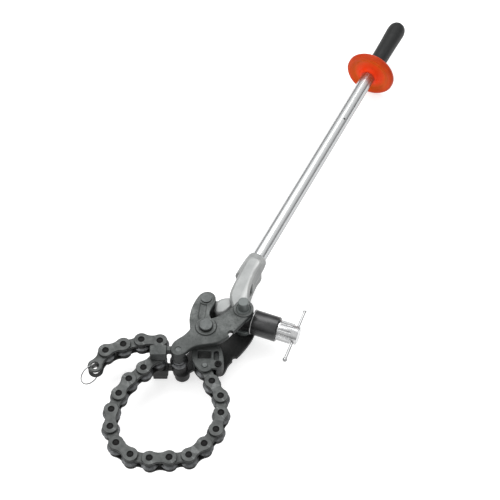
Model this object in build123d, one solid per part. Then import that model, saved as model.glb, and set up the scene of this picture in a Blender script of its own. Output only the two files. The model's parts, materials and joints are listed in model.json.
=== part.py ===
from build123d import *
import math
import os

# Chain pipe cutter for cast-iron soil pipe, millimetres.
# Origin: the axis of the pipe, where it crosses the middle plane of the chain.
# +Z runs along the pipe, so every link turns in the XY plane.

os.makedirs("parts", exist_ok=True)

# ---------------------------------------------------------------- driving dimensions
CHAIN_PITCH = 34.0
ANCHOR_PIN = (66.4, 93.2)
FIRST_HEADING = -67.0
# turn of the chain at pins 1 to 20, in degrees, left turns positive: round the pipe first,
# then over the hook and along the spare tail
CHAIN_TURNS = [5, -26, -16, -22, -14, -32, -6, -14, -29, -28,
               -21, -19, -10, -18, 0, 43, 90, 21, 6, 36]

PIN_R = 4.5
PIN_END_Z = 13.8
PIN_RECESS_R = 6.2
PIN_RECESS_DEPTH = 1.8
RUNNING_GAP = 0.05
LINK_END_R = 13.6
LINK_WAIST = 9.6
INNER_PLATE_Z = (6.0, 10.5)
OUTER_PLATE_Z = (11.0, 15.5)
EDGE_BREAK = 0.8

WHEEL_R = 16.6
WHEEL_HUB_R = 8.0
WHEEL_HUB_HALF = 5.4
JAW_WHEEL_HUB_HALF = 10.4
JAW_WHEEL_HUB_R = 13.0
WHEEL_BEVEL_R = 11.5
WHEEL_SHOULDER = 0.2
WHEEL_BEVEL_HALF = 2.3
WHEEL_EDGE_HALF = 0.15

RING_R = 19.0
RING_WIRE_R = 1.1
RING_HOLE_R = 7.4
RING_HEADING = 222.0
RING_LEAN = 15.0
RING_DROOP = 20.0
RING_OFFSET = 15.5

# the four axes of the head, all parallel to Z
JAW_TIP = (19.0, 113.0)
MAIN_PIVOT = (68.0, 160.0)
ROD_PIVOT = (67.0, 229.0)
HANDLE_PIVOT = (136.0, 199.0)

JAW_PLATE_Z = (30.0, 40.0)
JAW_EDGE_BREAK = 1.5
JAW_TIP_BOSS_R = 13.0
JAW_HUB_R = 19.0
HUB_HEIGHT_FRONT = 3.0
HUB_HEIGHT_REAR = 4.0
HANDLE_BOSS_R = 18.5
HANDLE_BOSS_HEIGHT = 2.5
FOOT_Z = -52.5

BOLT_R = 9.0
BOLT_HEAD_R = 13.0
BOLT_HEAD_HEIGHT = 6.0
BOLT_NUT_R = 15.0
BUSH_R = 12.0
TIP_AXLE_R = 5.0
TIP_AXLE_HEAD_R = 9.0
TIP_AXLE_SUNK = 1.5
ROD_PIN_R = 6.0
ROD_PIN_HEAD_R = 10.0
ROD_PIN_HEAD = 2.5
ROD_BOSS_R = 14.0
ROD_BOSS_HEIGHT = 1.0

CHAIN_JAW_HALF = 29.4
CHAIN_JAW_FORK_HALF = 17.5
CHAIN_JAW_LOW_HALF = 17.0
ANCHOR_PIN_PROUD = 1.0

ECCENTRIC = 4.2
TRUNNION_HEADING = 87.0
JOURNAL_R = 13.0
TRUNNION_R = 7.0
TRUNNION_LENGTH = 8.0
CHEEK_Z = (18.0, 29.5)
FORK_GAP = 0.6

HOUSING_R = 23.4
HOUSING_NECK_R = 16.8
HOUSING_NECK_START = -17.0
HOUSING_EDGE_BREAK = 1.2
HOUSING_HUB_R = 15.0
HOUSING_START = 18.0
HOUSING_END = 68.0
KNOB_R = 19.5
KNOB_COLLAR_AT = 95.0
KNOB_END = 107.5
KNOB_SHANK_R = 12.0
KNOB_STEP = 2.0
KNOB_FLUTES = 12
FLUTE_R = 2.9
FLUTE_OUTSIDE = 0.9
FLUTE_START = 3.5
ROD_R = 8.0
ROD_GAP = 0.3
ROD_LENGTH_PAST_PIVOT = 72.0
EYE_HALF = 10.0
T_BAR_R = 2.5
T_BAR_LENGTH = 113.0
T_BAR_BALL_R = 4.2
T_BAR_TIP_R = 3.2
T_BAR_TIP_LENGTH = 3.0
T_BAR_AT = 101.0

HANDLE_HEADING = 63.6
SOCKET_MOUTH = (164.9, 344.8)
TUBE_R = 14.2
TUBE_WALL = 2.3
TUBE_START = -48.0
TUBE_END = 692.0
GUARD_AT = 542.0
GUARD_R = 52.5
GUARD_HALF = 7.0
GRIP_END = 705.0
GRIP_NECK_R = 17.0
GRIP_BULB_R = 19.4

ALL_NODES = []


# ---------------------------------------------------------------- small helpers
def save(name, shape):
    """Write one node and note its name."""
    export_step(shape, f"parts/{name}.step")
    ALL_NODES.append(name)


def direction(heading):
    """Unit vector in the XY plane."""
    angle = math.radians(heading)
    return Vector(math.cos(angle), math.sin(angle), 0)


def post(centre, radius, low, high):
    """Round post parallel to Z."""
    height = high - low
    return Pos(centre[0], centre[1], low + height / 2) * Cylinder(radius, height)


def slab(sketch, low, high):
    """Flat plate parallel to XY."""
    return Pos(0, 0, low) * extrude(sketch, amount=high - low)


def disc(centre, radius):
    """Round sketch in the XY plane."""
    return Pos(centre[0], centre[1]) * Circle(radius)


def strap(first, first_r, second, second_r):
    """Sketch of two discs and the straight belt round them."""
    return make_hull((disc(first, first_r) + disc(second, second_r)).edges())


def blob(outline):
    """Smooth closed sketch through a few points."""
    points = [Vector(x, y) for x, y in outline]
    return make_face(Spline(*points, periodic=True))


def along(start, heading):
    """Plane at start whose own Z axis points along the heading."""
    return Plane(origin=(start[0], start[1], 0), x_dir=(0, 0, 1), z_dir=direction(heading))


def bar(plane, radius, low, high):
    """Round bar along a plane's own Z axis."""
    height = high - low
    return plane * Pos(0, 0, low + height / 2) * Cylinder(radius, height)


def turned(plane, profile):
    """Solid turned about a plane's own Z axis from (radius, height) corners."""
    face = make_face(Polyline(*[Vector(r, 0, z) for r, z in profile], close=True))
    return plane * revolve(face, axis=Axis.Z)


def mirrored_pair(solid):
    """A piece and its mirror image behind the chain's middle plane."""
    return solid, mirror(solid, about=Plane.XY)


# ---------------------------------------------------------------- chain
def chain_route():
    """Pin positions, and the heading of the link that leaves each one."""
    pins = [Vector(ANCHOR_PIN[0], ANCHOR_PIN[1], 0)]
    headings = [FIRST_HEADING]
    for turn in CHAIN_TURNS:
        headings.append(headings[-1] + turn)
    for heading in headings:
        pins.append(pins[-1] + direction(heading) * CHAIN_PITCH)
    return pins, headings


def link_outline():
    """Figure-of-eight side plate from one pin to the next, along X."""
    half = CHAIN_PITCH / 2
    waist_r = (half ** 2 + LINK_WAIST ** 2 - LINK_END_R ** 2) / (2 * (LINK_END_R - LINK_WAIST))
    blend = LINK_END_R / (LINK_END_R + waist_r)
    middle = Rectangle(CHAIN_PITCH * (1 - blend), 2 * blend * (LINK_WAIST + waist_r))
    outline = Pos(half, 0) * middle + Circle(LINK_END_R) + Pos(CHAIN_PITCH, 0) * Circle(LINK_END_R)
    for side in (-1, 1):
        outline -= Pos(half, side * (LINK_WAIST + waist_r)) * Circle(waist_r)
    return outline


def side_plate(heights, first_hole, second_hole):
    """One link plate with its two holes and a broken outer edge."""
    low, high = heights
    plate = slab(link_outline(), low, high)
    rim = plate.faces().sort_by(Axis.Z)[-1].outer_wire().edges()
    plate = chamfer(rim, EDGE_BREAK)
    plate -= post((0, 0), first_hole, low, high)
    plate -= post((CHAIN_PITCH, 0), second_hole, low, high)
    return plate


def inner_link(far_hole):
    """Two plates that turn on the pins of their neighbours."""
    return list(mirrored_pair(side_plate(INNER_PLATE_Z, PIN_R + RUNNING_GAP, far_hole)))


def outer_link():
    """Two plates riveted to two pins, each pin end sunk in a round recess."""
    plate = side_plate(OUTER_PLATE_Z, PIN_R, PIN_R)
    high = OUTER_PLATE_Z[1]
    for at in (0, CHAIN_PITCH):
        plate -= post((at, 0), PIN_RECESS_R, high - PIN_RECESS_DEPTH, high)
    pieces = list(mirrored_pair(plate))
    for at in (0, CHAIN_PITCH):
        pieces.append(post((at, 0), PIN_R, -PIN_END_Z, PIN_END_Z))
    return pieces


def cutter_wheel(bore_r, hub_r, hub_half):
    """Hardened wheel with a hub and a sharp V edge."""
    shoulder_r = max(hub_r, WHEEL_BEVEL_R) + WHEEL_SHOULDER
    profile = [
        (bore_r, -hub_half),
        (hub_r, -hub_half),
        (hub_r, -WHEEL_BEVEL_HALF),
        (shoulder_r, -WHEEL_BEVEL_HALF),
        (WHEEL_R, -WHEEL_EDGE_HALF),
        (WHEEL_R, WHEEL_EDGE_HALF),
        (shoulder_r, WHEEL_BEVEL_HALF),
        (hub_r, WHEEL_BEVEL_HALF),
        (hub_r, hub_half),
        (bore_r, hub_half),
    ]
    return turned(Plane.XY, profile)


def tail_ring(hole_at):
    """Wire ring through both plates of the last link."""
    out = direction(RING_HEADING)
    lean = Vector(0, 0, 1) * math.cos(math.radians(RING_LEAN))
    lean += direction(RING_HEADING - 90) * math.sin(math.radians(RING_LEAN))
    droop = math.radians(RING_DROOP)
    centre = hole_at + (out * math.cos(droop) - lean * math.sin(droop)) * RING_OFFSET
    plane = Plane(origin=centre, x_dir=out, z_dir=out.cross(lean))
    return plane * Torus(RING_R, RING_WIRE_R)


def build_chain():
    """Links, wheels and the ring on the spare end."""
    pins, headings = chain_route()
    inner_count = 0
    outer_count = 0
    for index, heading in enumerate(headings):
        place = Pos(pins[index]) * Rot(0, 0, heading)
        if index % 2:
            outer_count += 1
            name = f"outer_link_{outer_count:02d}"
            pieces = outer_link()
        else:
            inner_count += 1
            name = f"inner_link_{inner_count:02d}"
            last = index == len(headings) - 1
            pieces = inner_link(RING_HOLE_R if last else PIN_R + RUNNING_GAP)
        save(name, Compound(children=[place * piece for piece in pieces]))
    wheel = cutter_wheel(PIN_R + RUNNING_GAP, WHEEL_HUB_R, WHEEL_HUB_HALF)
    for index in range(len(headings)):
        save(f"cutter_wheel_{index:02d}", Pos(pins[index]) * wheel)
    save("tail_ring", tail_ring(pins[-1]))


# ---------------------------------------------------------------- fixed jaw
FRONT_OUTLINE = [
    (6, 116), (11, 104), (26, 102), (42, 115), (67, 123), (93, 129), (116, 147),
    (136, 170), (151, 191), (154, 206), (143, 217), (126, 215), (112, 201), (92, 185),
    (70, 177), (50, 168), (28, 143),
]
REAR_OUTLINE = [
    (6, 116), (11, 104), (26, 102), (44, 113), (66, 117), (84, 103), (97, 103), (107, 121),
    (123, 139), (140, 160), (154, 184), (157, 204), (145, 217), (127, 214), (118, 196),
    (106, 180), (90, 173), (70, 177), (50, 168), (28, 143),
]
NOTCH = (113, 147)
NOTCH_R = 5.5
REAR_NOTCH = (120, 135)
REAR_NOTCH_R = 5.5
# centre and size of the block over the hooked pin, and of the neck that carries it
HOOK_BLOCK_AT = (-17, 112, 28.7)
HOOK_BLOCK_SIZE = (30, 20, 20.6)
HOOK_BLOCK_CORNER = 2.0
HOOK_NECK_AT = (2, 117, 29)
HOOK_NECK_SIZE = (16, 9, 14)
# feet that only the rear plate has: a round one at the tip and a square one on the hook block
REAR_FOOT_HEIGHT = 9.0
REAR_TIP_FOOT = (23, 110)
REAR_TIP_FOOT_R = 14.0
REAR_HOOK_FOOT_AT = (-17, 111, 43)
REAR_HOOK_FOOT_SIZE = (26, 17, 10)


def hook_block():
    """Block that stands over the hooked chain pin, with the neck that carries it."""
    block = Pos(*HOOK_BLOCK_AT) * Box(*HOOK_BLOCK_SIZE)
    block = chamfer(block.edges().filter_by(Axis.Z), HOOK_BLOCK_CORNER)
    return block + Pos(*HOOK_NECK_AT) * Box(*HOOK_NECK_SIZE)


def jaw_plate(outline, hub_height):
    """Side plate of the fixed jaw: tip boss, hook, pivot hub and handle bearing."""
    low, high = JAW_PLATE_Z
    plate = slab(blob(outline), low, high)
    rim = plate.faces().sort_by(Axis.Z)[-1].outer_wire().edges()
    plate = chamfer(rim, JAW_EDGE_BREAK)
    plate += post(JAW_TIP, JAW_TIP_BOSS_R, OUTER_PLATE_Z[0], high)
    plate += post(MAIN_PIVOT, JAW_HUB_R, low, high + hub_height)
    plate += post(HANDLE_PIVOT, HANDLE_BOSS_R, low, high + HANDLE_BOSS_HEIGHT)
    plate += hook_block()
    plate -= post(JAW_TIP, TIP_AXLE_R, 0, high)
    plate -= post(MAIN_PIVOT, BOLT_R, 0, high + hub_height)
    plate -= post(HANDLE_PIVOT, JOURNAL_R + RUNNING_GAP, 0, high + HANDLE_BOSS_HEIGHT)
    return plate


def main_bolt():
    """Shoulder bolt through both jaw plates, with the nut end at the back."""
    plate_top = JAW_PLATE_Z[1]
    head_low = plate_top + HUB_HEIGHT_FRONT
    nut_low = plate_top + HUB_HEIGHT_REAR
    shank = post(MAIN_PIVOT, BOLT_R, -nut_low, head_low)
    head = post(MAIN_PIVOT, BOLT_HEAD_R, head_low, head_low + BOLT_HEAD_HEIGHT)
    head = chamfer(head.edges().sort_by(Axis.Z)[-1], JAW_EDGE_BREAK)
    nut = slab(Pos(*MAIN_PIVOT) * RegularPolygon(BOLT_NUT_R, 6), FOOT_Z, -nut_low)
    return shank + head + nut


def tip_axle():
    """Axle of the jaw's own wheel, headed at the back."""
    head_top = -JAW_PLATE_Z[1] - REAR_FOOT_HEIGHT
    axle = post(JAW_TIP, TIP_AXLE_R, head_top, JAW_PLATE_Z[1] - TIP_AXLE_SUNK)
    return axle + post(JAW_TIP, TIP_AXLE_HEAD_R, FOOT_Z, head_top)


def jaw_plate_rear():
    """The plate behind, with the two feet that it lies on."""
    low, high = JAW_PLATE_Z
    rear = jaw_plate(REAR_OUTLINE, HUB_HEIGHT_REAR)
    rear += post(REAR_TIP_FOOT, REAR_TIP_FOOT_R, low, high + REAR_FOOT_HEIGHT)
    rear += Pos(*REAR_HOOK_FOOT_AT) * Box(*REAR_HOOK_FOOT_SIZE)
    rear -= post(JAW_TIP, TIP_AXLE_R, 0, high + REAR_FOOT_HEIGHT)
    rear -= post(REAR_NOTCH, REAR_NOTCH_R, low, high)
    return mirror(rear, about=Plane.XY)


def build_fixed_jaw():
    """Two plates, the main pivot bolt, and the wheel at the tip."""
    front = jaw_plate(FRONT_OUTLINE, HUB_HEIGHT_FRONT)
    save("jaw_plate_front", front - post(NOTCH, NOTCH_R, *JAW_PLATE_Z))
    save("jaw_plate_rear", jaw_plate_rear())
    save("main_pivot_bolt", main_bolt())
    save("jaw_tip_axle", tip_axle())
    wheel = cutter_wheel(TIP_AXLE_R + RUNNING_GAP, JAW_WHEEL_HUB_R, JAW_WHEEL_HUB_HALF)
    save("jaw_cutter_wheel", Pos(*JAW_TIP) * wheel)


# ---------------------------------------------------------------- chain jaw
ARM_OUTLINE = [
    (45, 150), (37, 180), (39, 203), (47, 226), (57, 240), (70, 245), (82, 238),
    (84, 224), (77, 208), (74, 192), (84, 178), (93, 162), (84, 142), (66, 136),
]
LEG_OUTLINE = [
    (42, 150), (41, 122), (46, 99), (60, 84), (76, 86), (88, 87), (98, 96),
    (99, 116), (93, 136), (80, 152),
]
LEG_WINDOW_AT = (65.5, 115.5)
LEG_WINDOW_SIZE = (24, 15)
LEG_SLOT = ((87, 119), (87, 108))
LEG_SLOT_R = 4.5
LEG_SLOT_FLOOR = 8.0
ARM_POCKET = ((62, 216), (59, 190))
ARM_POCKET_R = 6.5
ARM_POCKET_DEPTH = 1.6
ROD_ROOM_R = 19.0
ROD_ROOM_AT = (97, 226)
ROD_ROOM_SIZE = (60, 46)
CHAIN_ROOM_END = (88, 55)
CHAIN_ROOM_GAP = 1.0


def pivot_bush():
    """Bronze bush on the main pivot bolt."""
    bush = post(MAIN_PIVOT, BUSH_R, -CHAIN_JAW_HALF, CHAIN_JAW_HALF)
    return bush - post(MAIN_PIVOT, BOLT_R + RUNNING_GAP, -CHAIN_JAW_HALF, CHAIN_JAW_HALF)


def chain_jaw_arm():
    """Upper arm with its pivot hub and the fork for the draw rod."""
    half = CHAIN_JAW_HALF
    arm = slab(blob(ARM_OUTLINE), -half, half)
    arm += post(ROD_PIVOT, ROD_BOSS_R, -half - ROD_BOSS_HEIGHT, half + ROD_BOSS_HEIGHT)
    pocket = strap(ARM_POCKET[0], ARM_POCKET_R, ARM_POCKET[1], ARM_POCKET_R)
    arm -= slab(pocket, half - ARM_POCKET_DEPTH, half)
    rod_room = disc(ROD_PIVOT, ROD_ROOM_R) + Pos(*ROD_ROOM_AT) * Rectangle(*ROD_ROOM_SIZE)
    return arm - slab(rod_room, -CHAIN_JAW_FORK_HALF, CHAIN_JAW_FORK_HALF)


def chain_jaw_leg():
    """Lower leg with its window, its slot and the room for the first links."""
    low = CHAIN_JAW_LOW_HALF
    leg = slab(blob(LEG_OUTLINE) + disc(ANCHOR_PIN, LINK_END_R), -low, low)
    leg -= slab(Pos(*LEG_WINDOW_AT) * Rectangle(*LEG_WINDOW_SIZE), -low, low)
    leg -= slab(strap(LEG_SLOT[0], LEG_SLOT_R, LEG_SLOT[1], LEG_SLOT_R), LEG_SLOT_FLOOR, low)
    near_r = LINK_END_R + CHAIN_ROOM_GAP
    link_room = strap(ANCHOR_PIN, near_r, CHAIN_ROOM_END, near_r + CHAIN_ROOM_GAP)
    link_room += disc(ANCHOR_PIN, WHEEL_R + 3 * CHAIN_ROOM_GAP)
    return leg - slab(link_room, -OUTER_PLATE_Z[0], OUTER_PLATE_Z[0])


def chain_jaw():
    """C-shaped lever: forked at the rod end, hubbed at the pivot, forked for the chain."""
    half = CHAIN_JAW_HALF
    jaw = chain_jaw_arm() + chain_jaw_leg()
    jaw -= post(MAIN_PIVOT, BUSH_R + RUNNING_GAP, -half, half)
    jaw -= post(ANCHOR_PIN, PIN_R, -CHAIN_JAW_LOW_HALF, CHAIN_JAW_LOW_HALF)
    jaw -= post(ROD_PIVOT, ROD_PIN_R, -half - ROD_BOSS_HEIGHT, half + ROD_BOSS_HEIGHT)
    return jaw


def anchor_pin():
    """Pin of the chain's first link, a little proud of both cheeks."""
    half = CHAIN_JAW_LOW_HALF + ANCHOR_PIN_PROUD
    return post(ANCHOR_PIN, PIN_R, -half, half)


def rod_end_pin():
    """Pin of the draw rod with a broad flat head at each end."""
    low = CHAIN_JAW_HALF + ROD_BOSS_HEIGHT
    high = low + ROD_PIN_HEAD
    pin = post(ROD_PIVOT, ROD_PIN_R, -low, low)
    pin += post(ROD_PIVOT, ROD_PIN_HEAD_R, low, high)
    return pin + post(ROD_PIVOT, ROD_PIN_HEAD_R, -high, -low)


def build_chain_jaw():
    """The lever that the chain is anchored to, with its bush and its two pins."""
    save("pivot_bush", pivot_bush())
    save("chain_jaw", chain_jaw())
    save("chain_anchor_pin", anchor_pin())
    save("rod_end_pin", rod_end_pin())


# ---------------------------------------------------------------- feed
def trunnion_axis():
    """Eccentric axis that the handle carries round with it, at rest."""
    offset = direction(TRUNNION_HEADING) * ECCENTRIC
    return (HANDLE_PIVOT[0] + offset.X, HANDLE_PIVOT[1] + offset.Y)


def feed_heading():
    """Direction of the feed screw, from the rod pivot through the trunnion axis."""
    trunnion = trunnion_axis()
    return math.degrees(math.atan2(trunnion[1] - ROD_PIVOT[1], trunnion[0] - ROD_PIVOT[0]))


def feed_line():
    """Plane whose own Z axis is the feed screw, starting at the trunnion axis."""
    return along(trunnion_axis(), feed_heading())


def feed_housing():
    """Housing of the feed knob, swung on two trunnions inside the handle's fork."""
    feed = feed_line()
    shank_start = HOUSING_START + 3
    fork_low, fork_high = CHEEK_Z
    body = bar(feed, HOUSING_NECK_R, HOUSING_NECK_START, HOUSING_START)
    barrel = bar(feed, HOUSING_R, HOUSING_START, HOUSING_END)
    far_end = barrel.edges().group_by(Axis((0, 0, 0), direction(feed_heading())))[-1]
    body += chamfer(far_end, HOUSING_EDGE_BREAK)
    body += post(trunnion_axis(), HOUSING_HUB_R, FORK_GAP - fork_low, fork_low - FORK_GAP)
    trunnion_half = fork_high + TRUNNION_LENGTH
    body += post(trunnion_axis(), TRUNNION_R, -trunnion_half, trunnion_half)
    body -= bar(feed, ROD_R + ROD_GAP, 2 * HOUSING_NECK_START, shank_start)
    body -= bar(feed, KNOB_SHANK_R + RUNNING_GAP, shank_start, HOUSING_END)
    return body


def feed_knob():
    """Fluted knob with a threaded shank and a cross hole for the bar."""
    feed = feed_line()
    start = HOUSING_END + 0.5
    knob = bar(feed, KNOB_R, start, KNOB_COLLAR_AT)
    for index in range(KNOB_FLUTES):
        groove = feed * Rot(0, 0, index * 360 / KNOB_FLUTES) * Pos(KNOB_R + FLUTE_OUTSIDE, 0, 0)
        knob -= bar(groove, FLUTE_R, HOUSING_END + FLUTE_START, KNOB_COLLAR_AT)
    knob += bar(feed, KNOB_R - KNOB_STEP, KNOB_COLLAR_AT, KNOB_END - 1)
    knob += bar(feed, KNOB_R - 2 * KNOB_STEP, KNOB_END - 1, KNOB_END)
    knob += bar(feed, KNOB_SHANK_R, HOUSING_START + 4, start)
    knob -= bar(feed, ROD_R + ROD_GAP, HOUSING_START, T_BAR_AT - ROD_R)
    knob -= bar(t_bar_plane(), T_BAR_R + RUNNING_GAP, -KNOB_R, KNOB_R)
    return knob


def t_bar_plane():
    """Plane across the knob whose own Z axis is the bar's length."""
    trunnion = trunnion_axis()
    middle = Vector(trunnion[0], trunnion[1], 0) + direction(feed_heading()) * T_BAR_AT
    return along((middle.X, middle.Y), feed_heading() + 90)


def t_bar():
    """Sliding bar with a ball on one end and a small riveted tip on the other."""
    line = t_bar_plane()
    half = T_BAR_LENGTH / 2
    body = bar(line, T_BAR_R, -half, half)
    body += line * Pos(0, 0, -half) * Sphere(T_BAR_BALL_R)
    return body + bar(line, T_BAR_TIP_R, half - T_BAR_TIP_LENGTH, half)


LUG_OUTLINE = [
    (81, 212), (83, 227), (91, 238), (104, 242), (118, 239), (124, 230), (114, 219),
    (102, 208), (90, 205),
]
LUG_EYE_END = (98, 222)
LUG_EYE_R = 12.5
LUG_CORNER = 4.0
PIN_SLOT_TRAVEL = 6.6
ROD_START_PAST_PIVOT = 18.0


def draw_rod():
    """Threaded rod with a broad lug; the lug has a cross slot for its pin."""
    feed = feed_line()
    rod_pivot_at = -math.dist(trunnion_axis(), ROD_PIVOT)
    half = CHEEK_Z[0] - 2
    lug = slab(blob(LUG_OUTLINE), -half, half)
    lug = chamfer(lug.faces().filter_by(Axis.Z).edges(), LUG_CORNER)
    lug += slab(strap(ROD_PIVOT, LUG_EYE_R, LUG_EYE_END, LUG_EYE_R), -EYE_HALF, EYE_HALF)
    rod = lug + bar(feed, ROD_R, rod_pivot_at + ROD_START_PAST_PIVOT, ROD_LENGTH_PAST_PIVOT)
    slot = SlotOverall(2 * ROD_PIN_R + PIN_SLOT_TRAVEL, 2 * (ROD_PIN_R + ROD_GAP))
    slot = Pos(*ROD_PIVOT) * Rot(0, 0, feed_heading() + 90) * slot
    return rod - slab(slot, -EYE_HALF, EYE_HALF)


def build_feed():
    """Everything on the feed axis."""
    save("feed_housing", feed_housing())
    save("feed_knob", feed_knob())
    save("t_bar", t_bar())
    save("draw_rod", draw_rod())


# ---------------------------------------------------------------- handle
CASTING_OUTLINE = [
    (121, 197), (112, 222), (110, 240), (114, 256), (121, 274), (129, 293), (137, 311),
    (147, 325), (162, 325), (170, 312), (163, 297), (156, 281), (150, 262), (147, 240),
    (149, 205), (137, 184),
]
CASTING_CORNER = 4.0
CHEEK_R = 16.0
# the fork is deeper on the right, where the housing swings in
FORK_ROOM_LEFT_R = 58.0
FORK_ROOM_RIGHT_R = 74.0
JOURNAL_CAP_R = 10.0
JOURNAL_CAP_TOP = 64.0
# (radius, distance from the socket's mouth) corners of the socket that holds the tube
SOCKET_PROFILE = [(0, -60), (21, -60), (21, -36), (20, -16), (18.5, -6), (17, -4), (0, -4)]


def fork_room():
    """Room between the cheeks for the lug, the housing's hub and the barrel."""
    reach = FORK_ROOM_RIGHT_R
    right_side = Pos(HANDLE_PIVOT[0] + reach, HANDLE_PIVOT[1]) * Rectangle(2 * reach, 2 * reach)
    right_half = disc(HANDLE_PIVOT, reach) & right_side
    return disc(HANDLE_PIVOT, FORK_ROOM_LEFT_R) + right_half


def handle_casting():
    """Forked lever with an eccentric bearing in each cheek and a socket for the tube."""
    low, high = CHEEK_Z
    journal_top = JAW_PLATE_Z[1] + 2
    handle = along(SOCKET_MOUTH, HANDLE_HEADING)
    body = slab(blob(CASTING_OUTLINE), -high, high)
    body = chamfer(body.faces().filter_by(Axis.Z).edges(), CASTING_CORNER)
    body += slab(disc(HANDLE_PIVOT, CHEEK_R), -high, high)
    body += turned(handle, SOCKET_PROFILE)
    body -= slab(fork_room(), FORK_GAP - low, low - FORK_GAP)
    body += post(HANDLE_PIVOT, JOURNAL_R, high, journal_top)
    body += post(HANDLE_PIVOT, JOURNAL_R, FOOT_Z, -high)
    body += post(HANDLE_PIVOT, JOURNAL_CAP_R, journal_top, JOURNAL_CAP_TOP)
    trunnion_half = high + TRUNNION_LENGTH + 1
    body -= post(trunnion_axis(), TRUNNION_R + RUNNING_GAP, -trunnion_half, trunnion_half)
    return body - bar(handle, TUBE_R, TUBE_START, 0)


def handle_tube():
    """Plated steel tube from the socket to the end of the grip."""
    handle = along(SOCKET_MOUTH, HANDLE_HEADING)
    tube = bar(handle, TUBE_R, TUBE_START, TUBE_END)
    return tube - bar(handle, TUBE_R - TUBE_WALL, TUBE_START, TUBE_END)


def hand_guard():
    """Round plastic guard: rolled rim, thin web and a domed hub round the tube."""
    profile = [
        (TUBE_R, -13), (16.5, -13), (18.5, -11.5), (21, -6.5), (25, -3), (30, -1.5), (36, -1.5),
        (41, -4.5), (46, -GUARD_HALF), (50, -GUARD_HALF + 1), (GUARD_R, -2.5), (GUARD_R, 2.5),
        (50, GUARD_HALF - 1), (46, GUARD_HALF), (40, 3), (24, 2), (TUBE_R, 2),
    ]
    return turned(along(SOCKET_MOUTH, HANDLE_HEADING) * Pos(0, 0, GUARD_AT), profile)


def grip():
    """Moulded grip with a necked middle and a rounded closed end."""
    start = GUARD_AT + 2
    length = GRIP_END - start
    edge = Spline(
        (GRIP_NECK_R + 1, 0, start),
        (GRIP_NECK_R, 0, start + 0.15 * length),
        (GRIP_BULB_R - 1, 0, start + 0.62 * length),
        (GRIP_BULB_R, 0, start + 0.80 * length),
        (GRIP_BULB_R * 0.78, 0, start + 0.95 * length),
        (0, 0, GRIP_END),
        tangents=[(-1, 0, 4), (-1, 0, 0)],
    )
    wall = Polyline(
        (0, 0, GRIP_END), (0, 0, TUBE_END), (TUBE_R, 0, TUBE_END),
        (TUBE_R, 0, start), (GRIP_NECK_R + 1, 0, start),
    )
    face = make_face(Wire([edge] + list(wall.edges())))
    return along(SOCKET_MOUTH, HANDLE_HEADING) * revolve(face, axis=Axis.Z)


def build_handle():
    """The long lever that the user pulls."""
    save("handle_casting", handle_casting())
    save("handle_tube", handle_tube())
    save("hand_guard", hand_guard())
    save("grip", grip())


build_chain()
build_fixed_jaw()
build_chain_jaw()
build_feed()
build_handle()
print(len(ALL_NODES), "nodes")
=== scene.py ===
import json
import math

import bmesh
import bpy
from mathutils import Matrix, Vector


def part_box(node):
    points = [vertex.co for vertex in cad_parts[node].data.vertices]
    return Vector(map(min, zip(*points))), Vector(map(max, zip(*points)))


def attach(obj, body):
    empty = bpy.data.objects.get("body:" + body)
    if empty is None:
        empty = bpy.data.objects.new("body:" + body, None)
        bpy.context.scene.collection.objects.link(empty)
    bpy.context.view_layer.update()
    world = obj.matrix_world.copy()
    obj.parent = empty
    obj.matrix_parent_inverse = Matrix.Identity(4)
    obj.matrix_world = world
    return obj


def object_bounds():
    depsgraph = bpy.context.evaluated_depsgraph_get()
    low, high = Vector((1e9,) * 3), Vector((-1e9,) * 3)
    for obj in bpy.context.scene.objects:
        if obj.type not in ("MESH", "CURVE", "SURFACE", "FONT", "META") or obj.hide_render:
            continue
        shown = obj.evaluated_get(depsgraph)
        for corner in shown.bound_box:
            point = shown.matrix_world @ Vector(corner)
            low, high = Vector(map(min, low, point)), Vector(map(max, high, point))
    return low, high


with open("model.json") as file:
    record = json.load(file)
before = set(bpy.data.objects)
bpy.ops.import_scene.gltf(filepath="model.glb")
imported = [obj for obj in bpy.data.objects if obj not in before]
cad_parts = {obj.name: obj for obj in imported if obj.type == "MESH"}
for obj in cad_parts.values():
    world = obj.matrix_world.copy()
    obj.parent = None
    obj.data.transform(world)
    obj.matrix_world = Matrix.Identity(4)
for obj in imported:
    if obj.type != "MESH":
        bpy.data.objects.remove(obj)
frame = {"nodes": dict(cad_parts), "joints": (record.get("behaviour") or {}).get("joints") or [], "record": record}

CAD_LOW, CAD_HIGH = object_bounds()
NODES = frame["nodes"]
BODIES = frame["record"]["behaviour"]["bodies"]
BODY_OF_NODE = {node: body for body, nodes in BODIES.items() for node in nodes}
JOINTS = {joint["name"]: joint for joint in frame["joints"]}

MM = 0.001
LINK_COUNT = 21


# ---------------------------------------------------------------- places, from the frame
def joint_place(name):
    """Where a joint's axis is, in metres."""
    return Vector(JOINTS[name]["pos_m"])


HANDLE_PIVOT = joint_place("handle_swing")
MAIN_PIVOT = joint_place("chain_jaw_swing")
ANCHOR_PIN = joint_place("chain_bend_00")
FEED_ORIGIN = joint_place("knob_turn")
FEED_AXIS = Vector(JOINTS["knob_turn"]["axis"])
T_BAR_AXIS = Vector(JOINTS["t_bar_slide"]["axis"])
HANDLE_HEADING = math.radians(63.6)
HANDLE_AXIS = Vector((math.cos(HANDLE_HEADING), math.sin(HANDLE_HEADING), 0))
SOCKET_MOUTH = Vector((0.1649, 0.3448, 0))
# how far along the handle from the mouth of its socket the guard and the cross pin are
GUARD_AT = 0.542
CROSS_PIN_AT = 0.388
CROSS_PIN_TURN = math.radians(28)
CASTING_RIDGE = Vector((0.1478, 0.2640, 0))
RIDGE_HEADING = math.radians(70)
RIDGE_AXIS = Vector((math.cos(RIDGE_HEADING), math.sin(RIDGE_HEADING), 0))
# plan position of the bolt in the chain jaw's leg
LEG_BOLT_AT = (0.0905, 0.0950)
FLANGE_START = 18.2 * MM


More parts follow.
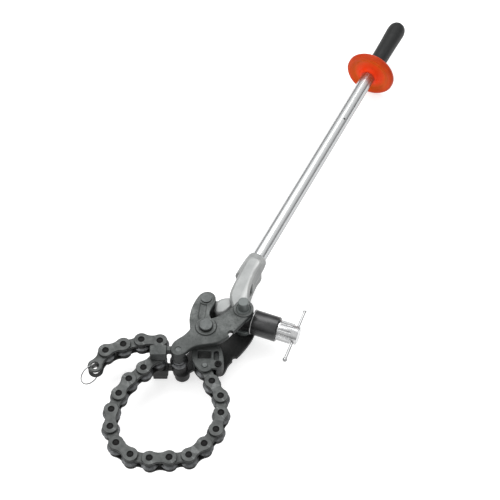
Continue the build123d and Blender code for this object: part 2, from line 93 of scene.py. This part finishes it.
def frame_along(origin, axis):
    """Placement whose own Z axis points along an axis, with its Y axis upwards where it can."""
    up = Vector((0, 0, 1)) if abs(axis.z) < 0.9 else Vector((0, 1, 0))
    side = up.cross(axis).normalized()
    turn = Matrix((side, axis.cross(side), axis)).transposed()
    return Matrix.Translation(origin) @ turn.to_4x4()


# ---------------------------------------------------------------- node materials
class Paint:
    """A procedural material while it is being put together."""

    def __init__(self, name):
        self.material = bpy.data.materials.new(name)
        self.material.use_nodes = True
        self.tree = self.material.node_tree
        self.shader = self.tree.nodes["Principled BSDF"]
        self.place = self.add("ShaderNodeTexCoord").outputs["Object"]

    def add(self, kind, **settings):
        node = self.tree.nodes.new(kind)
        for key, value in settings.items():
            setattr(node, key, value)
        return node

    def link(self, source, target):
        self.tree.links.new(source, target)

    def values(self, **inputs):
        """Set plain numbers and colours on the shader's own sockets."""
        for key, value in inputs.items():
            self.shader.inputs[key.replace("_", " ")].default_value = value

    def moved(self, origin, axis=None):
        """Coordinates centred on a point, with their Z axis along an axis."""
        mapping = self.add("ShaderNodeMapping", vector_type="TEXTURE")
        mapping.inputs["Location"].default_value = origin
        if axis is not None:
            mapping.inputs["Rotation"].default_value = frame_along(origin, axis).to_euler()
        self.link(self.place, mapping.inputs["Vector"])
        return mapping.outputs["Vector"]

    def stretched(self, source, scale):
        mapping = self.add("ShaderNodeMapping")
        mapping.inputs["Scale"].default_value = scale
        self.link(source, mapping.inputs["Vector"])
        return mapping.outputs["Vector"]

    def noise(self, size, detail=4.0, roughness=0.55, source=None):
        """Soft noise whose blotches are about size metres across."""
        node = self.add("ShaderNodeTexNoise")
        node.inputs["Scale"].default_value = 1.0 / size
        node.inputs["Detail"].default_value = detail
        node.inputs["Roughness"].default_value = roughness
        self.link(source or self.place, node.inputs["Vector"])
        return node.outputs["Fac"]

    def cells(self, size, source=None):
        node = self.add("ShaderNodeTexVoronoi")
        node.inputs["Scale"].default_value = 1.0 / size
        self.link(source or self.place, node.inputs["Vector"])
        return node.outputs["Distance"]

    def ramp(self, source, stops):
        """Colour ramp through (position, colour) stops."""
        node = self.add("ShaderNodeValToRGB")
        elements = node.color_ramp.elements
        while len(elements) < len(stops):
            elements.new(0.5)
        for element, (position, colour) in zip(elements, stops):
            element.position = position
            element.color = (*colour, 1.0)
        self.link(source, node.inputs["Fac"])
        return node.outputs["Color"]

    def span(self, source, low, high, start=0.0, end=1.0):
        """Map a value from start..end to low..high."""
        node = self.add("ShaderNodeMapRange")
        node.inputs["From Min"].default_value = start
        node.inputs["From Max"].default_value = end
        node.inputs["To Min"].default_value = low
        node.inputs["To Max"].default_value = high
        self.link(source, node.inputs["Value"])
        return node.outputs["Result"]

    def mix(self, amount, first, second):
        node = self.add("ShaderNodeMix", data_type="RGBA")
        for socket, value in (("Factor", amount), ("A", first), ("B", second)):
            target = [s for s in node.inputs if s.name == socket and s.enabled][0]
            if isinstance(value, tuple):
                target.default_value = (*value, 1.0)
            else:
                self.link(value, target)
        return [s for s in node.outputs if s.enabled][0]

    def maths(self, operation, first, second):
        node = self.add("ShaderNodeMath", operation=operation)
        for index, value in enumerate((first, second)):
            if isinstance(value, (int, float)):
                node.inputs[index].default_value = value
            else:
                self.link(value, node.inputs[index])
        return node.outputs[0]

    def length(self, local, scale=(1, 1, 0)):
        """Distance from the origin of local coordinates, by default from their Z axis."""
        node = self.add("ShaderNodeVectorMath", operation="LENGTH")
        self.link(self.stretched(local, scale), node.inputs[0])
        return node.outputs["Value"]

    def facing(self, start=0.55, end=0.92):
        """0 on faces that stand along the object's Z axis, 1 on faces square to it."""
        split = self.add("ShaderNodeSeparateXYZ")
        self.link(self.add("ShaderNodeTexCoord").outputs["Normal"], split.inputs["Vector"])
        return self.span(self.maths("ABSOLUTE", split.outputs["Z"], 0.0), 0.0, 1.0, start, end)

    def below(self, axis, high, low):
        """0 above high and 1 below low, measured along one of the frame's axes."""
        split = self.add("ShaderNodeSeparateXYZ")
        self.link(self.place, split.inputs["Vector"])
        return self.span(split.outputs[axis], 0.0, 1.0, high, low)

    def low_side(self):
        """1 on what lies below the tool's middle plane, 0 above it."""
        return self.below("Z", 4 * MM, -8 * MM)

    def worn_edges(self, start, end):
        """1 on sharp outer edges, 0 on flats."""
        pointiness = self.add("ShaderNodeNewGeometry").outputs["Pointiness"]
        return self.span(pointiness, 0.0, 1.0, start, end)

    def colour(self, source):
        self.link(source, self.shader.inputs["Base Color"])

    def roughness(self, source):
        self.link(source, self.shader.inputs["Roughness"])

    def bump(self, source, depth, strength=1.0):
        """Relief of depth metres."""
        node = self.add("ShaderNodeBump")
        node.inputs["Strength"].default_value = strength
        node.inputs["Distance"].default_value = depth
        self.link(source, node.inputs["Height"])
        self.link(node.outputs["Normal"], self.shader.inputs["Normal"])


def chain_steel():
    """Black-oxide plates: broad faces grey, sides painted near-black as shade, sharp edges rubbed lighter, lower
    half painted darker as shade.
    """
    paint = Paint("chain_steel")
    face = paint.ramp(paint.noise(12 * MM), [(0.3, (0.044, 0.047, 0.046)), (0.7, (0.100, 0.105, 0.103))])
    # painted shade: sides near-black, chosen by face direction
    tone = paint.mix(paint.facing(), (0.012, 0.013, 0.013), face)
    rub = paint.maths("MULTIPLY", paint.worn_edges(0.52, 0.60), paint.noise(3 * MM))
    tone = paint.mix(rub, tone, (0.18, 0.188, 0.187))
    # painted shade: darker on the lower half of the tool
    low_shade = paint.maths("MULTIPLY", paint.low_side(), 0.9)
    paint.colour(paint.mix(low_shade, tone, (0.014, 0.014, 0.014)))
    paint.roughness(paint.span(paint.noise(5 * MM), 0.38, 0.58))
    paint.bump(paint.noise(0.8 * MM, 6), 0.06 * MM)
    paint.values(Metallic=0.2, Specular_IOR_Level=0.2)
    return paint.material


def rivet_black():
    """Near-black ends of the chain pins: painted shade standing in for the shadowed pin recesses."""
    paint = Paint("rivet_black")
    stops = [(0.3, (0.003, 0.003, 0.003)), (0.8, (0.012, 0.012, 0.012))]
    paint.colour(paint.ramp(paint.noise(3 * MM), stops))
    paint.roughness(paint.span(paint.noise(1.5 * MM), 0.40, 0.60))
    paint.bump(paint.noise(0.7 * MM), 0.06 * MM)
    paint.values(Metallic=0.0, Specular_IOR_Level=0.1)
    return paint.material


def jaw_enamel():
    """Dark grey enamel over a rough forging, thin and lighter on the edges; sides, the leg and the lower half
    painted darker as shade.
    """
    paint = Paint("jaw_enamel")
    face = paint.ramp(paint.noise(16 * MM), [(0.28, (0.048, 0.053, 0.051)), (0.72, (0.138, 0.146, 0.143))])
    # painted shade: sides near-black, chosen by face direction
    tone = paint.mix(paint.facing(0.45, 0.95), (0.014, 0.016, 0.016), face)
    specks = paint.span(paint.noise(3.5 * MM, 5, 0.65), 0.0, 1.0, 0.50, 0.68)
    tone = paint.mix(paint.maths("MULTIPLY", specks, 0.75), tone, (0.036, 0.040, 0.039))
    rub = paint.maths("MULTIPLY", paint.worn_edges(0.51, 0.58), paint.noise(5 * MM))
    tone = paint.mix(rub, tone, (0.23, 0.24, 0.235))
    # painted shade: darker below Y 135-165 mm, over the chain jaw's leg
    leg = paint.maths("MULTIPLY", paint.below("Y", 165 * MM, 135 * MM), 0.45)
    tone = paint.mix(leg, tone, (0.040, 0.044, 0.043))
    # painted shade: darker on the lower half of the tool
    low_shade = paint.maths("MULTIPLY", paint.low_side(), 0.9)
    paint.colour(paint.mix(low_shade, tone, (0.013, 0.013, 0.013)))
    paint.roughness(paint.span(paint.noise(9 * MM), 0.42, 0.62))
    lumps = paint.maths("MULTIPLY", paint.noise(9 * MM), 2.0)
    grain = paint.maths("ADD", paint.noise(1.6 * MM, 8, 0.6), lumps)
    paint.bump(grain, 0.32 * MM)
    paint.values(Metallic=0.2, Specular_IOR_Level=0.25)
    return paint.material


def bolt_steel():
    """Blackened bolt heads with turning marks."""
    paint = Paint("bolt_steel")
    face = paint.ramp(paint.noise(6 * MM), [(0.3, (0.044, 0.049, 0.048)), (0.75, (0.084, 0.091, 0.090))])
    # painted shade: sides darker, chosen by face direction
    paint.colour(paint.mix(paint.facing(), (0.018, 0.019, 0.019), face))
    paint.roughness(paint.span(paint.noise(2 * MM), 0.32, 0.50))
    paint.bump(paint.noise(0.7 * MM), 0.05 * MM)
    paint.values(Metallic=0.5)
    return paint.material


def wheel_steel(name, centre):
    """Ground tool steel: darker towards the hub, a brighter rim, with grinding rings round the axis."""
    paint = Paint("wheel_steel_" + name)
    radius = paint.length(paint.moved(centre))
    rings = paint.maths("SINE", paint.maths("MULTIPLY", radius, 2 * math.pi / (0.5 * MM)), 0.0)
    rim = paint.ramp(paint.noise(6 * MM), [(0.3, (0.050, 0.052, 0.054)), (0.7, (0.160, 0.165, 0.170))])
    # darker towards the hub, brighter on the rim
    paint.colour(paint.mix(paint.span(radius, 0.0, 1.0, 7.5 * MM, 13.5 * MM), (0.035, 0.036, 0.037), rim))
    paint.roughness(paint.span(rings, 0.28, 0.42, -1.0, 1.0))
    paint.bump(rings, 0.012 * MM)
    paint.values(Metallic=0.9)
    return paint.material


def silver_enamel():
    """Silver enamel on the castings: a painted highlight along the ridge, sides painted darker as shade, and
    painted shade round the bearing and the rod's eye.
    """
    paint = Paint("silver_enamel")
    face = paint.ramp(paint.noise(24 * MM), [(0.3, (0.215, 0.223, 0.221)), (0.7, (0.295, 0.303, 0.300))])
    # painted highlight: a bright band along the casting's ridge
    off_ridge = paint.length(paint.moved(CASTING_RIDGE, RIDGE_AXIS), (1, 0, 0))
    ridge_highlight = paint.span(off_ridge, 1.0, 0.0, 1 * MM, 7 * MM)
    face = paint.mix(paint.maths("MULTIPLY", ridge_highlight, 0.55), face, (0.50, 0.506, 0.50))
    # painted shade: sides darker, chosen by face direction
    tone = paint.mix(paint.facing(0.05, 0.65), (0.18, 0.186, 0.184), face)
    # painted shade round the handle's bearing
    bearing = paint.span(paint.length(paint.moved(HANDLE_PIVOT)), 1.0, 0.0, 17.0 * MM, 18.5 * MM)
    tone = paint.mix(bearing, tone, (0.105, 0.118, 0.115))
    # painted shade over the rod's eye, with a ragged edge
    split = paint.add("ShaderNodeSeparateXYZ")
    paint.link(paint.place, split.inputs["Vector"])
    ragged_x = paint.maths("ADD", split.outputs["X"], paint.span(paint.noise(8 * MM), -3 * MM, 3 * MM))
    eye = paint.span(ragged_x, 1.0, 0.0, 78 * MM, 86 * MM)
    paint.colour(paint.mix(eye, tone, (0.030, 0.031, 0.031)))
    paint.roughness(paint.span(paint.noise(6 * MM), 0.36, 0.52))
    lumps = paint.maths("MULTIPLY", paint.noise(12 * MM), 2.0)
    grain = paint.maths("ADD", paint.noise(1.4 * MM, 8, 0.6), lumps)
    paint.bump(grain, 0.16 * MM)
    paint.values(Metallic=0.3)
    return paint.material


def plated_tube():
    """Bright plated tube with faint drawing lines along it, its flanks painted darker as shade."""
    paint = Paint("plated_tube")
    local = paint.moved(SOCKET_MOUTH, HANDLE_AXIS)
    lines = paint.noise(0.7 * MM, 3, 0.5, paint.stretched(local, (1, 1, 0.01)))
    bright = paint.ramp(lines, [(0.2, (0.52, 0.53, 0.535)), (0.8, (0.63, 0.64, 0.645))])
    # painted shade: flanks darker, chosen by face direction
    paint.colour(paint.mix(paint.facing(0.10, 0.65), (0.30, 0.305, 0.31), bright))
    paint.roughness(paint.span(lines, 0.22, 0.30))
    paint.bump(lines, 0.01 * MM)
    paint.values(Metallic=1.0)
    return paint.material


def zinc(name, axis_origin, axis, tone):
    """Zinc plating with turning marks round an axis; tone is how bright it is."""
    paint = Paint(name)
    local = paint.moved(axis_origin, axis)
    marks = paint.noise(0.6 * MM, 3, 0.5, paint.stretched(local, (0.03, 0.03, 1)))
    dull = (0.78 * tone, 0.79 * tone, 0.80 * tone)
    paint.colour(paint.ramp(paint.noise(8 * MM), [(0.3, dull), (0.7, (tone, tone, tone))]))
    paint.roughness(paint.span(marks, 0.20, 0.36))
    paint.bump(marks, 0.02 * MM)
    paint.values(Metallic=1.0)
    return paint.material


def housing_black():
    """Satin black finish of the feed housing."""
    paint = Paint("housing_black")
    stops = [(0.3, (0.014, 0.014, 0.015)), (0.7, (0.030, 0.030, 0.031))]
    paint.colour(paint.ramp(paint.noise(12 * MM), stops))
    paint.roughness(paint.span(paint.noise(3 * MM), 0.24, 0.36))
    paint.bump(paint.noise(0.8 * MM), 0.05 * MM)
    paint.values(Metallic=0.3, Specular_IOR_Level=0.7)
    return paint.material


def bronze():
    """Turned bronze of the pivot bush."""
    paint = Paint("bronze")
    local = paint.moved(MAIN_PIVOT)
    marks = paint.noise(0.5 * MM, 3, 0.5, paint.stretched(local, (0.03, 0.03, 1)))
    paint.colour(paint.ramp(marks, [(0.2, (0.42, 0.27, 0.11)), (0.8, (0.58, 0.40, 0.18))]))
    paint.roughness(paint.span(marks, 0.25, 0.40))
    paint.values(Metallic=1.0)
    return paint.material


def orange_plastic():
    """Moulded orange plastic, painted by radius: redder at the hub as a painted highlight, browner on the web as
    painted shade in its ring recess, darker at the rim as painted shade.
    """
    paint = Paint("orange_plastic")
    local = paint.moved(SOCKET_MOUTH + HANDLE_AXIS * GUARD_AT, HANDLE_AXIS)
    cloud = paint.span(paint.noise(14 * MM), -3 * MM, 3 * MM)
    radius = paint.maths("ADD", paint.length(local), cloud)
    share = paint.span(radius, 0.0, 1.0, 14 * MM, 53 * MM)
    # painted highlight at the hub, painted shade in the ring recess and at the rounded rim
    bands = [
        (0.10, (0.80, 0.040, 0.003)), (0.36, (0.76, 0.055, 0.003)), (0.60, (0.58, 0.085, 0.005)),
        (0.82, (0.60, 0.056, 0.004)), (1.0, (0.38, 0.030, 0.004)),
    ]
    paint.colour(paint.ramp(share, bands))
    paint.roughness(paint.span(paint.noise(4 * MM), 0.38, 0.50))
    paint.bump(paint.noise(1.2 * MM), 0.03 * MM)
    paint.values(Specular_IOR_Level=0.12)
    return paint.material


def grip_rubber():
    """Black moulded grip with a fine pebble grain."""
    paint = Paint("grip_rubber")
    stops = [(0.3, (0.006, 0.007, 0.007)), (0.7, (0.013, 0.014, 0.014))]
    paint.colour(paint.ramp(paint.noise(18 * MM), stops))
    paint.roughness(paint.span(paint.noise(5 * MM), 0.46, 0.60))
    paint.bump(paint.cells(0.9 * MM), 0.05 * MM)
    paint.values(Specular_IOR_Level=0.3)
    return paint.material


# ---------------------------------------------------------------- mesh helpers
def finish_mesh(name, mesh_data, material):
    """Turn a bmesh into a shaded object."""
    mesh = bpy.data.meshes.new(name)
    bmesh.ops.recalc_face_normals(mesh_data, faces=mesh_data.faces)
    mesh_data.to_mesh(mesh)
    mesh_data.free()
    piece = bpy.data.objects.new(name, mesh)
    bpy.context.scene.collection.objects.link(piece)
    mesh.materials.append(material)
    mesh.shade_smooth()
    return piece


def lathe_into(mesh_data, profile, place, segments=48):
    """Turn (radius, height) points about Z into a closed skin; points on the axis become poles."""
    rings = []
    for radius, height in profile:
        if radius < 1e-7:
            rings.append([mesh_data.verts.new(place @ Vector((0, 0, height)))])
            continue
        ring = []
        for step in range(segments):
            angle = 2 * math.pi * step / segments
            spot = Vector((radius * math.cos(angle), radius * math.sin(angle), height))
            ring.append(mesh_data.verts.new(place @ spot))
        rings.append(ring)
    for lower, upper in zip(rings, rings[1:]):
        for step in range(segments):
            following = (step + 1) % segments
            corners = [lower[step % len(lower)], lower[following % len(lower)],
                       upper[following % len(upper)], upper[step % len(upper)]]
            unique = list(dict.fromkeys(corners))
            mesh_data.faces.new(unique)


def soften(node, voxel, passes):
    """Round a casting's edges with a fine remesh and a little smoothing."""
    piece = NODES[node]
    remesh = piece.modifiers.new("cast_skin", "REMESH")
    remesh.mode = "VOXEL"
    remesh.voxel_size = voxel
    remesh.use_smooth_shade = True
    smooth = piece.modifiers.new("cast_round", "SMOOTH")
    smooth.factor = 0.5
    smooth.iterations = passes


def bevel(node, width):
    """Break the edges of a machined piece."""
    piece = NODES[node]
    weld = piece.modifiers.new("weld", "WELD")
    weld.merge_threshold = 0.001 * MM
    edge = piece.modifiers.new("edge", "BEVEL")
    edge.width = width
    edge.segments = 2
    edge.limit_method = "ANGLE"
    edge.angle_limit = math.radians(35)
    edge.harden_normals = False


def dress(node, material):
    """Give a CAD node its material."""
    mesh = NODES[node].data
    mesh.materials.clear()
    mesh.materials.append(material)


# ---------------------------------------------------------------- the chain
def dress_chain(steel):
    """Plates, wheels and ring."""
    for node in NODES:
        if "_link_" in node:
            dress(node, steel)
            bevel(node, 0.5 * MM)
    for node in NODES:
        if "cutter_wheel" in node:
            low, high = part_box(node)
            dress(node, wheel_steel(node, (low + high) / 2))
    low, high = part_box("tail_ring")
    dress("tail_ring", zinc("ring_wire", (low + high) / 2, Vector((0, 0, 1)), 0.28))


def rivet_heads(steel):
    """Peened pin ends sunk in the recesses of the outer plates."""
    plate_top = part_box("outer_link_01")[1].z
    profile = [(5.9, -1.75), (5.9, -1.3), (5.2, -1.0), (4.6, -1.15), (4.2, -0.75), (2.2, -0.45), (0, -0.4)]
    profile = [(radius * MM, height * MM) for radius, height in profile]
    for link in range(1, LINK_COUNT // 2 + 1):
        heads = bmesh.new()
        for pin in (2 * link - 1, 2 * link):
            centre = joint_place(f"chain_bend_{pin:02d}")
            for side in (1, -1):
                place = Matrix.Translation(centre + Vector((0, 0, side * plate_top)))
                place = place @ Matrix.Diagonal((1, 1, side, 1))
                lathe_into(heads, profile, place, 32)
        node = f"outer_link_{link:02d}"
        piece = finish_mesh(f"rivet_heads_{link:02d}", heads, steel)
        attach(piece, BODY_OF_NODE[node])


# ---------------------------------------------------------------- the head
def dress_head(enamel, bolts, silver, black):
    """Jaws, bolts, casting and feed parts."""
    for node in ("jaw_plate_front", "jaw_plate_rear", "chain_jaw"):
        dress(node, enamel)
        soften(node, 0.9 * MM, 6)
    for node in ("main_pivot_bolt", "jaw_tip_axle", "chain_anchor_pin", "rod_end_pin"):
        dress(node, bolts)
        bevel(node, 0.7 * MM)
    for node in ("handle_casting", "draw_rod"):
        dress(node, silver)
        soften(node, 1.0 * MM, 10)
    dress("feed_housing", black)
    bevel("feed_housing", 0.6 * MM)
    dress("pivot_bush", bronze())
    dress("feed_knob", zinc("zinc_knob", FEED_ORIGIN, FEED_AXIS, 0.56))
    bevel("feed_knob", 0.4 * MM)
    dress("t_bar", zinc("zinc_bar", FEED_ORIGIN, T_BAR_AXIS, 0.45))


def flange_ring():
    """Bright ring where the feed housing meets the head."""
    profile = [(23.3, 0), (23.9, 0.2), (24.1, 0.7), (24.1, 1.8), (23.9, 2.3), (23.3, 2.5)]
    profile = [(radius * MM, FLANGE_START + height * MM) for radius, height in profile]
    ring = bmesh.new()
    lathe_into(ring, profile, frame_along(FEED_ORIGIN, FEED_AXIS), 64)
    piece = finish_mesh("housing_flange_ring", ring, zinc("zinc_ring", FEED_ORIGIN, FEED_AXIS, 0.36))
    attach(piece, "feed_housing")


def leg_bolt(black):
    """Black bolt head beside the slot of the chain jaw's leg."""
    spot = Vector((*LEG_BOLT_AT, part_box("chain_anchor_pin")[1].z - 1 * MM))
    profile = [(0, -1), (6.5, -1), (6.5, 2.2), (5.7, 3.0), (2.9, 3.0), (2.7, 1.4), (0, 1.2)]
    profile = [(radius * MM, height * MM) for radius, height in profile]
    head = bmesh.new()
    lathe_into(head, profile, Matrix.Translation(spot), 32)
    piece = finish_mesh("leg_bolt_head", head, black)
    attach(piece, "chain_jaw")


# ---------------------------------------------------------------- the handle
def dress_handle():
    """Tube, guard and grip."""
    dress("handle_tube", plated_tube())
    dress("hand_guard", orange_plastic())
    dress("grip", grip_rubber())


def cross_pin(bolts):
    """Pin through the tube below the guard, turned a little about the tube."""
    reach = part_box("handle_tube")[1].z
    spot = SOCKET_MOUTH + HANDLE_AXIS * CROSS_PIN_AT
    profile = [(0, 0.2), (2.0, 0.1), (2.8, -0.5), (2.8, -4)]
    half = [(radius * MM, reach + height * MM) for radius, height in profile]
    profile = half + [(radius, -height) for radius, height in reversed(half)]
    pin = bmesh.new()
    turn = Matrix.Rotation(CROSS_PIN_TURN, 4, HANDLE_AXIS)
    lathe_into(pin, profile, Matrix.Translation(spot) @ turn, 24)
    piece = finish_mesh("tube_cross_pin", pin, bolts)
    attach(piece, "handle")


# ---------------------------------------------------------------- floor, light and camera
def make_floor():
    """Pale floor that the tool lies on."""
    mesh_data = bmesh.new()
    bmesh.ops.create_grid(mesh_data, x_segments=4, y_segments=4, size=6.0)
    paint = Paint("floor_paper")
    paint.colour(paint.ramp(paint.noise(0.5), [(0.3, (0.58, 0.58, 0.58)), (0.7, (0.60, 0.60, 0.60))]))
    paint.values(Roughness=0.9, Emission_Color=(1, 1, 1, 1), Emission_Strength=0.62)
    floor = finish_mesh("floor", mesh_data, paint.material)
    floor.location = (0, 0, CAD_LOW.z - 0.0002)


def area_light(name, place, target, size, power):
    """Soft box that faces a target."""
    light = bpy.data.lights.new(name, "AREA")
    light.shape = "RECTANGLE"
    light.size, light.size_y = size
    light.energy = power
    lamp = bpy.data.objects.new(name, light)
    lamp.location = place
    lamp.rotation_euler = (Vector(target) - Vector(place)).to_track_quat("-Z", "Y").to_euler()
    bpy.context.scene.collection.objects.link(lamp)


def make_lights():
    """Bright studio ceiling over darker walls, with a large soft box above and behind."""
    world = bpy.data.worlds.new("studio")
    bpy.context.scene.world = world
    world.use_nodes = True
    tree = world.node_tree
    place = tree.nodes.new("ShaderNodeTexCoord")
    split = tree.nodes.new("ShaderNodeSeparateXYZ")
    height = tree.nodes.new("ShaderNodeMapRange")
    height.inputs["From Min"].default_value = 0.10
    height.inputs["From Max"].default_value = 0.62
    height.inputs["To Min"].default_value = 0.10
    height.inputs["To Max"].default_value = 1.05
    tree.links.new(place.outputs["Generated"], split.inputs["Vector"])
    tree.links.new(split.outputs["Z"], height.inputs["Value"])
    tree.links.new(height.outputs["Result"], tree.nodes["Background"].inputs["Strength"])
    tree.nodes["Background"].inputs["Color"].default_value = (1, 1, 1, 1)
    middle = (CAD_LOW + CAD_HIGH) / 2
    area_light("key", (0.0, 1.5, 2.3), middle, (2.2, 1.6), 40)
    area_light("fill", (-1.4, 0.0, 1.9), middle, (1.2, 1.2), 9)
    bpy.context.scene.view_settings.view_transform = "Standard"


def make_camera():
    """Long lens from the front, 53.8 degrees above the floor."""
    target = Vector((0.1478, 0.3618, 0))
    elevation = math.radians(53.816)
    distance = 2.508
    camera = bpy.data.objects.new("camera", bpy.data.cameras.new("camera"))
    camera.data.sensor_width = 36.0
    camera.data.lens = 93.6
    camera.location = target + distance * Vector((0, -math.cos(elevation), math.sin(elevation)))
    camera.rotation_euler = (math.pi / 2 - elevation, 0, 0)
    bpy.context.scene.collection.objects.link(camera)
    bpy.context.scene.camera = camera


make_camera()
make_lights()
make_floor()
BOLTS = bolt_steel()
dress_chain(chain_steel())
RIVETS = rivet_black()
rivet_heads(RIVETS)
dress_head(jaw_enamel(), BOLTS, silver_enamel(), housing_black())
flange_ring()
leg_bolt(RIVETS)
dress_handle()
cross_pin(BOLTS)
